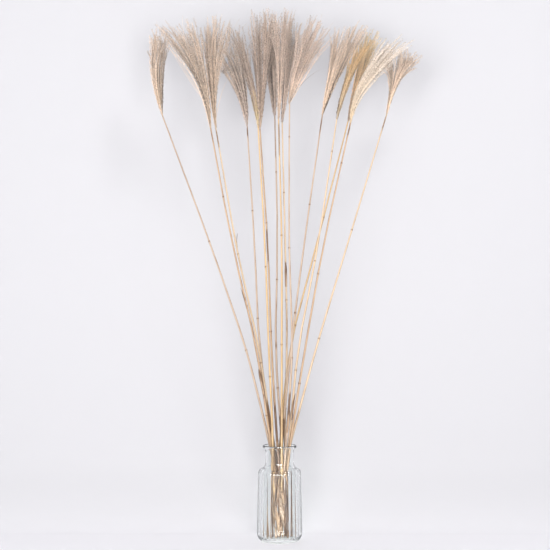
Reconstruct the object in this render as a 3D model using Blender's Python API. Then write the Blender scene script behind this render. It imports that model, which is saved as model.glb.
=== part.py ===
# Dried miscanthus: fifteen plumed grass stems in a small ribbed clear glass vase
"""Builds the vase, the stems and their feathery plumes, one object each.

The sizes below are millimetres; blender_mesh() turns them into metres.
Z is up, X runs across the fan of stems and Y runs through its depth.
The origin is the centre of the vase's flat base.
"""
import math
from collections import namedtuple

import bpy
import bmesh
import numpy as np

MM = 0.001
TOUCH_GAP = 0.3

# Vase
VASE_HEIGHT = 180.0
BASE_THICKNESS = 5.0
WALL = 2.9
FOOT_RADIUS = 31.0
BODY_RADIUS = 42.6
SHOULDER_RADIUS = 40.2
NECK_RADIUS = 26.8
RIM_RADIUS = 32.0
RIM_ROUND = 1.0
MOUTH_RADIUS = 28.0
CORNER_HEIGHT = 17.0
SHOULDER_HEIGHT = 127.0
NECK_BOTTOM = 147.0
NECK_TOP = 169.0
RIM_THICKNESS = 4.5
FLUTES = 30
FLUTE_DEPTH = 1.1
FLUTE_FADE = 9.0
SHARP_EDGE = math.radians(40)

# Stems
FOOT_STEM_RADIUS = 2.5
TOP_STEM_RADIUS = 1.25
STEM_SIDES = 5
STEM_CORNERS = 1.1
STEM_GAP = 0.9
WALL_GAP = 0.7
LOW_HEIGHT = 358.0
MIDDLE_HEIGHT = 547.0
ROUTE_STEP = 5.0
BEND_ROUNDS = 400
BEND_SPREAD = 6.0
BEND_REACH = 12
PLUME_FOOT = 15.0
RING_HEIGHTS = (30, 60, 90, 120, 150, 180, 215, 260, 320, 400, 500, 610, 720)
FIRST_JOINT = 70.0
JOINT_STAGGER = 83
JOINT_STAGGER_LIMIT = 190
JOINT_SPACING = 205.0
JOINT_FREE_TOP = 60.0
JOINT_SWELL = 1.32
JOINT_HALF_LENGTH = 4.0

# Dry slivers of leaf sheath: the culm they cling to, the height of their foot, their length,
# the side they are on in degrees from +X, and how far their tip has peeled away
Sliver = namedtuple("Sliver", "stem foot length bearing lift")
SLIVER_RADIUS = 1.1
SLIVER_RINGS = (0.35, 0.7)
SLIVER_ROOT = 0.6
SLIVERS = (
    Sliver(3, 553, 26, 10, 5.0),
    Sliver(2, 436, 40, 190, 1.5),
    Sliver(9, 478, 46, 270, 1.0),
    Sliver(4, 284, 44, 200, 2.5),
    Sliver(3, 288, 34, 100, 3.0),
    Sliver(2, 276, 48, 250, 4.0),
    Sliver(12, 228, 50, 330, 1.6),
    Sliver(10, 205, 42, 300, 2.0),
)

# Plumes
RACHIS_REACH = 0.50
RACHIS_RADIUS = 1.5
RACHIS_TAPER = (0.85, 0.5)
RACHIS_RINGS = 5
RACHIS_SIDES = 5
ROOT_LOWEST = 0.02
ROOT_SPREAD = 0.42
ROOT_OFFSET = 0.9
STRAND_RADIUS = 1.8
STRAND_RINGS = (0.36, 0.7)
STRAND_WIDTHS = (0.95, 0.9)
WIDTH_EVENNESS = 0.75
DEPTH_BEND = 1.5
TIP_SCATTER = 0.10
TURN_SCATTER = 0.2
TIP_LEAN = 1.3
CENTRE_PAST_TIPS = 1.3
CENTRE_STEPS = 60
TOP_ALLOWANCE = 60.0
PLUME_GAP = 2.8
FREE_SHARE = 0.5
GOLDEN_ANGLE = math.radians(137.5)

# One stem and its plume: where the culm passes the vase's floor, rim, a low and a middle height,
# where its plume begins, the fan's half depth, its number of strands and its guide strands.
# A guide is its place across the fan from -1 to 1, then X and Z half way and at its tip
Plant = namedtuple("Plant", "foot rim low middle head depth strands colour guides")

PLANTS = (
    Plant((24, 4), (-18, 2), -63, -127, (-221, 16, 800), 15, 21, "beige", (
        (-1, -245, 884, -243, 953), (0, -232, 878, -228, 960), (1, -217, 875, -213, 953))),
    Plant((10, -7), (-16, -5), -43, -86, (-129, -20, 775), 20, 28, "beige", (
        (-1, -165, 866, -223, 929), (-0.5, -160, 881, -225, 960), (0, -150, 875, -189, 962),
        (0.5, -143, 877, -167, 970), (1, -135, 875, -150, 949))),
    Plant((14, 8), (-12, 5), -39, -80, (-121, 22, 779), 20, 26, "beige", (
        (-1, -138, 875, -147, 957), (-0.4, -130, 883, -136, 976), (0.2, -124, 885, -121, 995),
        (0.6, -119, 887, -92, 975), (1, -113, 874, -71, 973))),
    Plant((14, 16), (-11, 12), -37, -47, (-62, 56, 785), 20, 26, "grey", (
        (-1, -85, 852, -117, 903), (-0.4, -80, 861, -113, 929), (0.3, -72, 867, -97, 962),
        (1, -63, 867, -74, 974))),
    Plant((-18, -16), (-13, -12), -20, -27, (-40, -55, 777), 12, 15, "golden", (
        (-1, -60, 850, -91, 937), (0, -54, 853, -82, 952), (1, -47, 857, -71, 942))),
    Plant((10, 1), (-4, -1), -15, -22, (-37, 14, 775), 20, 26, "beige", (
        (-1, -46, 871, -58, 965), (-0.5, -41, 878, -47, 994), (0, -33, 882, -30, 994),
        (0.6, -26, 878, -14, 988), (1, -22, 872, -1, 971))),
    Plant((19, 14), (5, 10), -7, -4, (-9, 52, 804), 20, 26, "grey", (
        (-1, -22, 870, -40, 975), (0, -15, 889, -26, 1002), (1, -5, 897, -5, 1002))),
    Plant((3, -2), (4, -5), 4, 4, (-2, -20, 791), 18, 21, "beige", (
        (-1, -7, 875, -16, 972), (-0.2, 1, 883, 1, 988), (0.6, 6, 886, 18, 985), (1, 10, 886, 29, 987))),
    Plant((21, 12), (10, 9), 14, 11, (5, 58, 793), 18, 21, "grey", (
        (-1, 8, 886, 10, 992), (0, 14, 884, 24, 990), (1, 22, 883, 41, 974))),
    Plant((-2, -7), (12, -12), 23, 18, (18, -56, 816), 20, 28, "beige", (
        (-1, 23, 881, 37, 955), (-0.4, 32, 881, 59, 964), (0.2, 39, 879, 76, 961),
        (0.7, 49, 874, 92, 944), (1, 52, 861, 96, 915))),
    Plant((-13, 5), (4, 3), 21, 45, (81, 20, 803), 20, 28, "beige", (
        (-1, 90, 881, 103, 963), (-0.5, 97, 883, 116, 968), (0, 105, 885, 135, 970),
        (0.5, 114, 887, 156, 968), (1, 122, 885, 175, 961))),
    Plant((-4, 2), (17, -1), 35, 70, (107, -16, 792), 12, 14, "golden", (
        (-1, 120, 855, 141, 911), (0, 126, 861, 156, 928), (1, 133, 863, 169, 937))),
    Plant((-17, 18), (1, 16), 20, 68, (132, 60, 796), 18, 21, "golden", (
        (-1, 145, 879, 163, 961), (0, 153, 879, 180, 969), (1, 160, 877, 194, 965))),
    Plant((-8, -11), (19, -8), 47, 80, (131, -52, 781), 20, 28, "golden", (
        (-1, 146, 852, 192, 919), (-0.4, 152, 852, 212, 930), (0.3, 157, 850, 230, 930),
        (0.7, 159, 846, 234, 915), (1, 161, 839, 219, 899))),
    Plant((-25, 7), (20, 5), 68, 125, (203, 18, 805), 18, 26, "beige", (
        (-1, 209, 862, 196, 892), (-0.5, 211, 867, 203, 913), (-0.25, 213, 869, 211, 919),
        (-0.23, 218, 869, 230, 917), (0.2, 222, 869, 247, 923), (0.7, 226, 867, 266, 913),
        (1, 228, 862, 258, 890))),
)

# Colour, roughness and metallic value of each finish
FINISHES = {
    "glass": ((0.80, 0.86, 0.84, 1.0), 0.05),
    "straw": ((0.72, 0.56, 0.34, 1.0), 0.62),
    "beige": ((0.63, 0.50, 0.39, 1.0), 0.90),
    "grey": ((0.52, 0.44, 0.38, 1.0), 0.90),
    "golden": ((0.68, 0.49, 0.27, 1.0), 0.90),
}


def clear_scene():
    """Removes every object that the file opened with."""
    for thing in list(bpy.data.objects):
        bpy.data.objects.remove(thing, do_unlink=True)


def finish(name):
    """Returns the material of a finish, made on its first use."""
    found = bpy.data.materials.get(name)
    if found:
        return found
    colour, roughness = FINISHES[name]
    material = bpy.data.materials.new(name)
    material.use_nodes = True
    shader = material.node_tree.nodes["Principled BSDF"]
    shader.inputs["Base Color"].default_value = colour
    shader.inputs["Roughness"].default_value = roughness
    shader.inputs["Metallic"].default_value = 0.0
    material.diffuse_color = colour
    return material


def ring_faces(rings, sides):
    """Joins each ring of points to the next, and closes both end rings with one flat face."""
    faces = []
    for ring in range(rings - 1):
        for side in range(sides):
            low = ring * sides + side
            low_next = ring * sides + (side + 1) % sides
            faces.append((low, low_next, low_next + sides, low + sides))
    faces.append(tuple(range(sides - 1, -1, -1)))
    faces.append(tuple(range((rings - 1) * sides, rings * sides)))
    return faces


def blender_mesh(name, points, faces):
    """Makes a closed mesh in metres, its faces turned outwards."""
    mesh = bpy.data.meshes.new(name)
    mesh.from_pydata((np.asarray(points) * MM).tolist(), [], faces)
    work = bmesh.new()
    work.from_mesh(mesh)
    bmesh.ops.recalc_face_normals(work, faces=work.faces)
    work.to_mesh(mesh)
    work.free()
    return mesh


def add_solid(name, points, faces, finish_name):
    """Adds one named solid to the scene."""
    thing = bpy.data.objects.new(name, blender_mesh(name, points, faces))
    thing.data.materials.append(finish(finish_name))
    bpy.context.scene.collection.objects.link(thing)
    return thing


# Vase: a profile turned about Z, with flutes on the outside of its body
def arc(centre, radii, start, end, steps):
    """Points along an ellipse's arc, from one angle to another in degrees."""
    angles = np.radians(np.linspace(start, end, steps))
    return [(centre[0] + radii[0] * math.cos(a), centre[1] + radii[1] * math.sin(a)) for a in angles]


def outer_profile():
    """Radius and height of the outside, from the flat foot up to the rim's top edge."""
    half_rise = (NECK_BOTTOM - SHOULDER_HEIGHT) / 2
    half_step = (SHOULDER_RADIUS - NECK_RADIUS) / 2
    profile = arc((FOOT_RADIUS, CORNER_HEIGHT), (BODY_RADIUS - FOOT_RADIUS, CORNER_HEIGHT), -90, 0, 4)
    profile += arc((NECK_RADIUS + half_step, SHOULDER_HEIGHT), (half_step, half_rise), 0, 90, 4)
    profile += arc((NECK_RADIUS + half_step, NECK_BOTTOM), (half_step, half_rise), 270, 180, 3)[1:]
    profile += [(NECK_RADIUS, NECK_TOP), (RIM_RADIUS - RIM_ROUND, VASE_HEIGHT - RIM_THICKNESS)]
    profile += [(RIM_RADIUS, VASE_HEIGHT - RIM_THICKNESS / 2), (RIM_RADIUS - RIM_ROUND, VASE_HEIGHT)]
    return profile


def inner_profile():
    """Radius and height of the inside, from the rim's top edge down to the flat floor."""
    neck = NECK_RADIUS - WALL
    shoulder = SHOULDER_RADIUS - WALL - FLUTE_DEPTH
    body = BODY_RADIUS - WALL - FLUTE_DEPTH
    return [
        (MOUTH_RADIUS, VASE_HEIGHT - RIM_ROUND / 2),
        (neck, NECK_TOP),
        (neck, NECK_BOTTOM + WALL),
        ((neck + shoulder) / 2, (SHOULDER_HEIGHT + NECK_BOTTOM) / 2),
        (shoulder, SHOULDER_HEIGHT),
        (body, CORNER_HEIGHT + BASE_THICKNESS),
        (body - BASE_THICKNESS / 2, CORNER_HEIGHT / 2),
        (FOOT_RADIUS, BASE_THICKNESS),
    ]


def flute_strength(height):
    """One along the body, falling smoothly to nothing at the shoulder and at the foot."""
    top = np.clip((SHOULDER_HEIGHT + FLUTE_FADE - height) / FLUTE_FADE, 0, 1)
    bottom = np.clip(height / (CORNER_HEIGHT / 2), 0, 1)
    return float(top * bottom)


def build_vase():
    """Turns the profile, with every second point of a ring drawn in where the body is fluted."""
    sides = FLUTES * 2
    angles = np.arange(sides) * 2 * np.pi / sides
    valley = np.arange(sides) % 2
    points = []
    for radius, height in outer_profile():
        reach = radius - FLUTE_DEPTH * flute_strength(height) * valley
        points.append(np.column_stack([reach * np.cos(angles), reach * np.sin(angles),
                                       np.full(sides, height)]))
    for radius, height in inner_profile():
        points.append(np.column_stack([radius * np.cos(angles), radius * np.sin(angles),
                                       np.full(sides, height)]))
    rings = len(points)
    vase = add_solid("vase", np.concatenate(points), ring_faces(rings, sides), "glass")
    vase.data.shade_smooth()
    vase.data.set_sharp_from_angle(angle=SHARP_EDGE)


# Stems: smooth routes from the vase's floor to the plumes, bent clear of each other
def stem_radius(height):
    """Culms taper evenly from the foot to the plume."""
    share = height / PLANTS[0].head[2]
    return FOOT_STEM_RADIUS + (TOP_STEM_RADIUS - FOOT_STEM_RADIUS) * share


def smooth_route(heights, knots, places):
    """A smooth curve through the places given at the knots, read at each height."""
    slopes = np.gradient(places, knots, axis=0)
    left = np.clip(np.searchsorted(knots, heights) - 1, 0, len(knots) - 2)
    span = knots[left + 1] - knots[left]
    part = ((heights - knots[left]) / span)[:, None]
    span = span[:, None]
    return ((2 * part**3 - 3 * part**2 + 1) * places[left]
            + (part**3 - 2 * part**2 + part) * span * slopes[left]
            + (3 * part**2 - 2 * part**3) * places[left + 1]
            + (part**3 - part**2) * span * slopes[left + 1])


def between_guides(plant, across):
    """Half-way place and tip at one place across the fan, which leans on outwards in depth."""
    places, half_x, half_z, tip_x, tip_z = np.array(plant.guides, float).T
    half_y = plant.head[1] * (1 + TIP_LEAN) / 2
    tip_y = plant.head[1] * TIP_LEAN
    halfway = np.array([np.interp(across, places, half_x), half_y, np.interp(across, places, half_z)])
    tip = np.array([np.interp(across, places, tip_x), tip_y, np.interp(across, places, tip_z)])
    return halfway, tip


def fan_line(plant, across, steps):
    """The curve from the head through the half-way place to the tip, a little past it if asked."""
    head = np.array(plant.head, float)
    halfway, tip = between_guides(plant, across)
    control = 2 * halfway - (head + tip) / 2
    t = np.asarray(steps)[:, None]
    return (1 - t)**2 * head + 2 * (1 - t) * t * control + t**2 * tip


def first_routes(heights):
    """Across and depth of every plant's line at each height, before any is moved."""
    floor = BASE_THICKNESS + TOUCH_GAP
    routes = []
    for plant in PLANTS:
        head_x, head_y, head_z = plant.head
        knots = np.array([floor, VASE_HEIGHT, LOW_HEIGHT, MIDDLE_HEIGHT, head_z])
        share = (knots[1:] - VASE_HEIGHT) / (head_z - VASE_HEIGHT)
        depths = plant.rim[1] + (head_y - plant.rim[1]) * share
        across = [plant.foot[0], plant.rim[0], plant.low, plant.middle, head_x]
        places = np.column_stack([across, np.append(plant.foot[1], depths)])
        route = smooth_route(np.minimum(heights, head_z), knots, places)
        centre = fan_line(plant, 0.0, np.linspace(0, CENTRE_PAST_TIPS, CENTRE_STEPS))
        above = heights > head_z
        for axis in (0, 1):
            route[above, axis] = np.interp(heights[above], centre[:, 2], centre[:, axis])
        routes.append(route)
    return np.array(routes)


def inner_radius(heights):
    """Free radius inside the vase at each height; above the rim it is wide open."""
    inside = inner_profile()[::-1]
    radii = [place[0] for place in inside] + [1000.0]
    levels = [place[1] for place in inside] + [VASE_HEIGHT + 1.0]
    return np.interp(heights, levels, radii)


def soften(push):
    """Spreads each push over neighbouring heights, so that a stem bends and doesn't kink."""
    offsets = np.arange(2 * BEND_REACH + 1)
    weights = np.exp(-0.5 * ((offsets - BEND_REACH) / BEND_SPREAD)**2)
    weights /= weights.sum()
    padded = np.pad(push, ((0, 0), (BEND_REACH, BEND_REACH), (0, 0)), mode="edge")
    return sum(w * padded[:, o:o + push.shape[1]] for w, o in zip(weights, offsets))


def bend_clear(routes, heights):
    """Pushes stems apart, and in from the glass, until each keeps its gap at every height."""
    radius = stem_radius(heights)
    need = 2 * radius * STEM_CORNERS + STEM_GAP
    heads = np.array([plant.head[2] for plant in PLANTS])
    stem_here = heights[None, :] <= heads[:, None] + PLUME_FOOT
    both = stem_here[:, None, :] & stem_here[None, :, :]
    limit = inner_radius(heights) - radius - WALL_GAP
    for _ in range(BEND_ROUNDS):
        apart = routes[:, None] - routes[None, :]
        distance = np.linalg.norm(apart, axis=3)
        distance += 10 * need.max() * np.eye(len(routes))[:, :, None]
        short = np.where(both, np.clip(need - distance, 0, None), 0)
        push = np.einsum("abk,abkc->akc", 0.5 * short / np.maximum(distance, 0.01), apart)
        reach = np.linalg.norm(routes, axis=2)
        outside = np.clip(reach - limit, 0, None)
        push -= routes * (outside / np.maximum(reach, 0.01))[..., None]
        if short.max() < STEM_GAP / 4 and outside.max() < WALL_GAP / 7:
            break
        routes = routes + 1.2 * soften(push)
    return routes


def joint_heights(number, top):
    """Heights of a culm's joints, which start at another height on each culm."""
    first = FIRST_JOINT + (number * JOINT_STAGGER) % JOINT_STAGGER_LIMIT
    return np.arange(first, top - JOINT_FREE_TOP, JOINT_SPACING)


def stem_rings(number, plant):
    """Height and radius of each ring of a culm, with a small swelling at each joint."""
    floor = BASE_THICKNESS + TOUCH_GAP
    top = plant.head[2]
    joints = joint_heights(number, top)
    rings = []
    for height in (floor,) + RING_HEIGHTS + (top,):
        if np.abs(joints - height).min() > 3 * JOINT_HALF_LENGTH:
            rings.append((height, stem_radius(height)))
    for joint in joints:
        radius = stem_radius(joint)
        rings.append((joint - JOINT_HALF_LENGTH, radius))
        rings.append((joint, radius * JOINT_SWELL))
        rings.append((joint + JOINT_HALF_LENGTH, radius))
    return sorted(rings)


def add_sliver(sliver, route, heights):
    """A slim sliver that starts inside the culm's skin and peels away towards its tip."""
    share = np.array((0.0,) + SLIVER_RINGS + (1.0,))
    levels = sliver.foot + sliver.length * share
    bearing = math.radians(sliver.bearing)
    reach = stem_radius(levels) * SLIVER_ROOT + sliver.lift * share**2
    across = np.interp(levels, heights, route[:, 0]) + reach * math.cos(bearing)
    deep = np.interp(levels, heights, route[:, 1]) + reach * math.sin(bearing)
    path = np.column_stack([across, deep, levels])
    width = SLIVER_RADIUS * np.ones(len(SLIVER_RINGS))
    return add_solid("sliver", *pointed_solid(path, width), "straw")


def build_stem(number, plant, route, heights):
    """A tapered five-sided culm along its route; its level rings are round across its own line."""
    angles = np.arange(STEM_SIDES) * 2 * np.pi / STEM_SIDES
    circle = np.column_stack([np.cos(angles), np.sin(angles)])
    points = []
    rings = stem_rings(number, plant)
    for height, radius in rings:
        centre = np.array([np.interp(height, heights, route[:, axis]) for axis in (0, 1)])
        ahead = np.array([np.interp(height + ROUTE_STEP, heights, route[:, axis]) for axis in (0, 1)])
        lean = (ahead - centre) / ROUTE_STEP
        stretch = math.sqrt(1 + lean @ lean)
        along = lean / max(np.linalg.norm(lean), 1e-6)
        ring = radius * (circle + (stretch - 1) * np.outer(circle @ along, along))
        points.append(np.column_stack([centre + ring, np.full(STEM_SIDES, height)]))
    faces = ring_faces(len(rings), STEM_SIDES)
    stem = add_solid(f"stem_{number:02d}", np.concatenate(points), faces, "straw")
    slivers = [add_sliver(sliver, route, heights) for sliver in SLIVERS if sliver.stem == number]
    if slivers:
        join_all(stem, slivers)
    stem.data.shade_smooth()


# Plumes: fans of tapered strands, rooted in a slim rachis
def tube_points(path, radii, sides, level_start=False):
    """Rings of points across a path, each as wide as its radius."""
    ahead = np.gradient(path, axis=0)
    ahead /= np.linalg.norm(ahead, axis=1)[:, None]
    side = np.cross(ahead, np.array([0.0, 1.0, 0.0]))
    side /= np.linalg.norm(side, axis=1)[:, None]
    front = np.cross(side, ahead)
    angles = np.arange(sides) * 2 * np.pi / sides - np.pi / 2
    rings = []
    for index, radius in enumerate(radii):
        ring = path[index] + radius * (np.outer(np.cos(angles), side[index])
                                       + np.outer(np.sin(angles), front[index]))
        if level_start and index == 0:
            ring[:, 2] = path[0, 2]
        rings.append(ring)
    return np.concatenate(rings)


def keep_own_side(points, number, routes, heights):
    """Draws points back to their own side of the middle between this plume and each other line."""
    moved = points.copy()
    own = np.column_stack([np.interp(points[:, 2], heights, routes[number, :, axis]) for axis in (0, 1)])
    for other in list(range(len(PLANTS))) * 2:
        if other == number:
            continue
        its = np.column_stack([np.interp(points[:, 2], heights, routes[other, :, axis]) for axis in (0, 1)])
        away = its - own
        distance = np.linalg.norm(away, axis=1)
        away = away / distance[:, None]
        room = np.maximum(distance / 2 - PLUME_GAP, 0.1)
        reach = np.einsum("ij,ij->i", moved[:, :2] - own, away)
        over = np.clip(reach / room - FREE_SHARE, 0, None) / (1 - FREE_SHARE)
        allowed = room * (FREE_SHARE + (1 - FREE_SHARE) * (1 - np.exp(-over)))
        moved[:, :2] -= away * np.where(over > 0, reach - allowed, 0)[:, None]
    return moved


def strand_path(plant, across, deep, drop):
    """The curve of one strand: it leaves the rachis beside it and eases over to its own fan line."""
    reach = math.hypot(across, deep)
    side_step = np.array([across, deep, 0]) / reach * ROOT_OFFSET
    across = math.copysign(abs(across)**WIDTH_EVENNESS, across)
    share = np.array((0.0,) + STRAND_RINGS + (1.0,))
    start = ROOT_LOWEST + ROOT_SPREAD * (1 - reach)
    steps = start + (1 - drop * TIP_SCATTER - start) * share
    path = fan_line(plant, across, steps)
    path[:, 1] += deep * plant.depth * steps**DEPTH_BEND
    to_root = fan_line(plant, 0.0, steps[:1]) + side_step - path[0]
    return path + (1 - share[:, None])**2 * to_root


def pointed_solid(path, widths):
    """A three-sided solid along a path: a point at each end, and rings of these widths between."""
    rings = len(widths)
    points = tube_points(path, np.concatenate([[0.0], widths, [0.0]]), 3)[3:-3]
    points = np.vstack([points, path[0], path[-1]])
    faces = ring_faces(rings, 3)[:-2]
    last = (rings - 1) * 3
    for side in range(3):
        beside = (side + 1) % 3
        faces.append((rings * 3, beside, side))
        faces.append((last + side, last + beside, rings * 3 + 1))
    return points, faces


def keep_outer_skin(mesh):
    """Drops every island of faces but the largest, which fills a sealed hollow."""
    work = bmesh.new()
    work.from_mesh(mesh)
    left = set(work.verts)
    islands = []
    while left:
        found = {left.pop()}
        edge = list(found)
        while edge:
            near = {e.other_vert(v) for v in edge for e in v.link_edges} & left
            left -= near
            found |= near
            edge = list(near)
        islands.append(found)
    islands.sort(key=len)
    spare = [vert for island in islands[:-1] for vert in island]
    bmesh.ops.delete(work, geom=spare, context="VERTS")
    work.to_mesh(mesh)
    work.free()


def join_all(body, extras):
    """Fuses the extra solids into the body with one Boolean union, and removes them."""
    group = bpy.data.collections.new("extras")
    bpy.context.scene.collection.children.link(group)
    for extra in extras:
        bpy.context.scene.collection.objects.unlink(extra)
        group.objects.link(extra)
    union = body.modifiers.new("union", "BOOLEAN")
    union.operation = "UNION"
    union.operand_type = "COLLECTION"
    union.collection = group
    union.solver = "EXACT"
    bpy.context.view_layer.update()
    graph = bpy.context.evaluated_depsgraph_get()
    fused = bpy.data.meshes.new_from_object(body.evaluated_get(graph))
    body.modifiers.clear()
    keep_outer_skin(fused)
    body.data = fused
    for extra in extras:
        bpy.data.objects.remove(extra, do_unlink=True)
    bpy.data.collections.remove(group)


def build_plume(number, plant, routes, heights):
    """A slim rachis standing on the culm, with strands spread evenly through an oval fan."""
    draw = np.random.default_rng(number)
    rachis_path = fan_line(plant, 0.0, np.linspace(0, RACHIS_REACH, RACHIS_RINGS))
    rachis_path[0, 2] += TOUCH_GAP
    radii = RACHIS_RADIUS * np.linspace(*RACHIS_TAPER, RACHIS_RINGS)
    points = tube_points(rachis_path, radii, RACHIS_SIDES, level_start=True)
    faces = ring_faces(RACHIS_RINGS, RACHIS_SIDES)
    plume = add_solid(f"plume_{number:02d}", points, faces, plant.colour)
    widths = STRAND_RADIUS * np.array(STRAND_WIDTHS)
    strands = []
    for index in range(plant.strands):
        reach = math.sqrt((index + 0.5) / plant.strands)
        angle = index * GOLDEN_ANGLE + draw.uniform(-TURN_SCATTER, TURN_SCATTER)
        path = strand_path(plant, reach * math.cos(angle), reach * math.sin(angle), draw.random())
        path = keep_own_side(path, number - 1, routes, heights)
        strands.append(add_solid("strand", *pointed_solid(path, widths), plant.colour))
    join_all(plume, strands)
    print(plume.name, "triangles", sum(len(face.vertices) - 2 for face in plume.data.polygons))


def main():
    """Builds the whole bunch in its vase."""
    clear_scene()
    build_vase()
    top = max(guide[-1] for plant in PLANTS for guide in plant.guides) + TOP_ALLOWANCE
    heights = np.arange(BASE_THICKNESS + TOUCH_GAP, top, ROUTE_STEP)
    routes = bend_clear(first_routes(heights), heights)
    for number, plant in enumerate(PLANTS, start=1):
        build_stem(number, plant, routes[number - 1], heights)
        build_plume(number, plant, routes, heights)


main()
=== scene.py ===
# %% [markdown]
# # Dried miscanthus in a ribbed glass vase
#
# Fifteen dried culms stand in a small clear vase, and each carries a feathery plume.
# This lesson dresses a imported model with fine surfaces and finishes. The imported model
# gives every place, so each new piece starts from numbers that are read from it.

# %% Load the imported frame
import math
from collections import namedtuple

import bpy
import numpy as np
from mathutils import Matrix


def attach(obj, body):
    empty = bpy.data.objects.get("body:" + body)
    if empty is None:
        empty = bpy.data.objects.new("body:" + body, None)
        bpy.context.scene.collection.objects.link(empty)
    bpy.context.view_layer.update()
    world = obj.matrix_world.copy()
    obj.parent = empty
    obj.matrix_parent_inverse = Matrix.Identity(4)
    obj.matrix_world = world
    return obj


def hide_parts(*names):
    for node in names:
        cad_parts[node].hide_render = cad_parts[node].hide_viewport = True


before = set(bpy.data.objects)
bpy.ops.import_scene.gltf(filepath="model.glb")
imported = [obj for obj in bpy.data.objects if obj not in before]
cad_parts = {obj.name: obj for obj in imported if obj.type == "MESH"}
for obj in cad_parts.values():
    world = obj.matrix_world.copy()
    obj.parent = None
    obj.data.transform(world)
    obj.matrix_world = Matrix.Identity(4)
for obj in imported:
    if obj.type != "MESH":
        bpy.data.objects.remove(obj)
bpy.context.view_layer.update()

MM = 0.001


# %% [markdown]
# ## From arrays to a mesh
#
# Every surface below is worked out as whole arrays, in millimetres. One helper puts an
# array of points and arrays of faces into a mesh, in metres. It could add the faces one
# by one, but a large plume has nearly sixty thousand of them, and `foreach_set` takes
# them all at once. A chart is a pair of numbers at each point that a material can read
# as a UV map.

# %% Put arrays into a mesh
def add_piece(name, points, faces, finish, chart, marks=None):
    """Makes an object at the origin: points in millimetres, arrays of faces, and a chart.

    marks is one more number at each point, for finishes that read it.
    """
    corners = np.concatenate([group.ravel() for group in faces])
    sizes = np.concatenate([np.full(len(group), group.shape[1]) for group in faces])
    mesh = bpy.data.meshes.new(name)
    mesh.vertices.add(len(points))
    mesh.vertices.foreach_set("co", (points * MM).ravel())
    mesh.loops.add(len(corners))
    mesh.loops.foreach_set("vertex_index", corners)
    mesh.polygons.add(len(sizes))
    mesh.polygons.foreach_set("loop_start", np.cumsum(sizes) - sizes)
    mesh.polygons.foreach_set("use_smooth", np.full(len(sizes), True))
    mesh.update(calc_edges=True)
    layer = mesh.uv_layers.new(name="chart")
    layer.uv.foreach_set("vector", chart[corners].ravel())
    if marks is not None:
        layer = mesh.attributes.new("marks", "FLOAT", "POINT")
        layer.data.foreach_set("value", marks)
    mesh.materials.append(finish)
    piece = bpy.data.objects.new(name, mesh)
    bpy.context.scene.collection.objects.link(piece)
    return piece


# %% [markdown]
# Culms and strands are tubes: rings of points along a path, with quads between them.
# The helpers take one path or many at once, so that all the strands of a plume come
# from the same few lines.

# %% Tubes along paths
def unit(vectors):
    """Each vector divided by its own length."""
    return vectors / np.linalg.norm(vectors, axis=-1, keepdims=True)


def tube(path, radii, sides):
    """Rings along a path: centre + radius (cos a * side + sin a * front).

    side is at right angles to the path and to Y, and front to both of them, so that
    the rings run anticlockwise as seen from the path's far end. Works on many paths.
    """
    ahead = unit(np.gradient(path, axis=-2))
    side = unit(np.cross(ahead, [0.0, 1.0, 0.0]))
    front = np.cross(ahead, side)
    angles = np.arange(sides) * 2 * np.pi / sides
    round_about = (np.cos(angles)[:, None] * side[..., None, :]
                   + np.sin(angles)[:, None] * front[..., None, :])
    return path[..., None, :] + radii[..., None, None] * round_about


def ring_faces(count, rows, sides, start=0):
    """Quads between neighbouring rings of count tubes, and one flat face at each end."""
    first = start + np.arange(count)[:, None, None] * rows * sides
    ring = first + np.arange(rows - 1)[:, None] * sides
    low = ring + np.arange(sides)
    beside = ring + (np.arange(sides) + 1) % sides
    quads = np.stack([low, beside, beside + sides, low + sides], axis=-1).reshape(-1, 4)
    bottom = first[:, 0] + np.arange(sides)[::-1]
    top = first[:, 0] + (rows - 1) * sides + np.arange(sides)
    return [quads, np.concatenate([bottom, top])]


print("faces in a tube of three rings and six sides", sum(map(len, ring_faces(1, 3, 6))))

# %% [markdown]
# ## Camera
#
# The bunch was photographed level, from three metres off, with a long lens that hardly
# shows perspective. A level camera at half the height of the bunch repeats that.

# %% Camera
CAMERA_PLACE = (-0.0086, -3.0, 0.500)
LENS = 104.4
SENSOR = 36.0

camera = bpy.data.objects.new("camera", bpy.data.cameras.new("camera"))
camera.location = CAMERA_PLACE
camera.rotation_euler = (math.radians(90), 0, 0)
camera.data.lens = LENS
camera.data.sensor_width = SENSOR
bpy.context.scene.collection.objects.link(camera)
bpy.context.scene.camera = camera
print("camera", CAMERA_PLACE, "lens", LENS)

# %% [markdown]
# ## Node trees in few lines
#
# A material is a tree of shader nodes. A small helper adds a node and sets or links its
# sockets by name, so that each finish below reads as a list of what feeds what.

# %% A helper for shader nodes
def add_node(tree, kind, settings=(), **sockets):
    """Adds a node; a socket is given a value, or another node's output to link from."""
    made = tree.nodes.new(kind)
    for key, value in settings:
        setattr(made, key, value)
    for key, value in sockets.items():
        socket = made.inputs[int(key[1:])] if key[1:].isdigit() else made.inputs[key.replace("_", " ")]
        if isinstance(value, bpy.types.NodeSocket):
            tree.links.new(value, socket)
        else:
            socket.default_value = value
    return made


def new_material(name):
    """A material with an empty tree but for its output and its Principled shader."""
    material = bpy.data.materials.new(name)
    material.use_nodes = True
    return material, material.node_tree, material.node_tree.nodes["Principled BSDF"]


def new_group(name, inputs, outputs):
    """A node group with named sockets, each given as (name, kind, value at rest)."""
    group = bpy.data.node_groups.new(name, "ShaderNodeTree")
    for label, kind, value in inputs:
        socket = group.interface.new_socket(label, in_out="INPUT", socket_type=kind)
        socket.default_value = value
    for label, kind in outputs:
        group.interface.new_socket(label, in_out="OUTPUT", socket_type=kind)
    return group, group.nodes.new("NodeGroupInput"), group.nodes.new("NodeGroupOutput")


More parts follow.
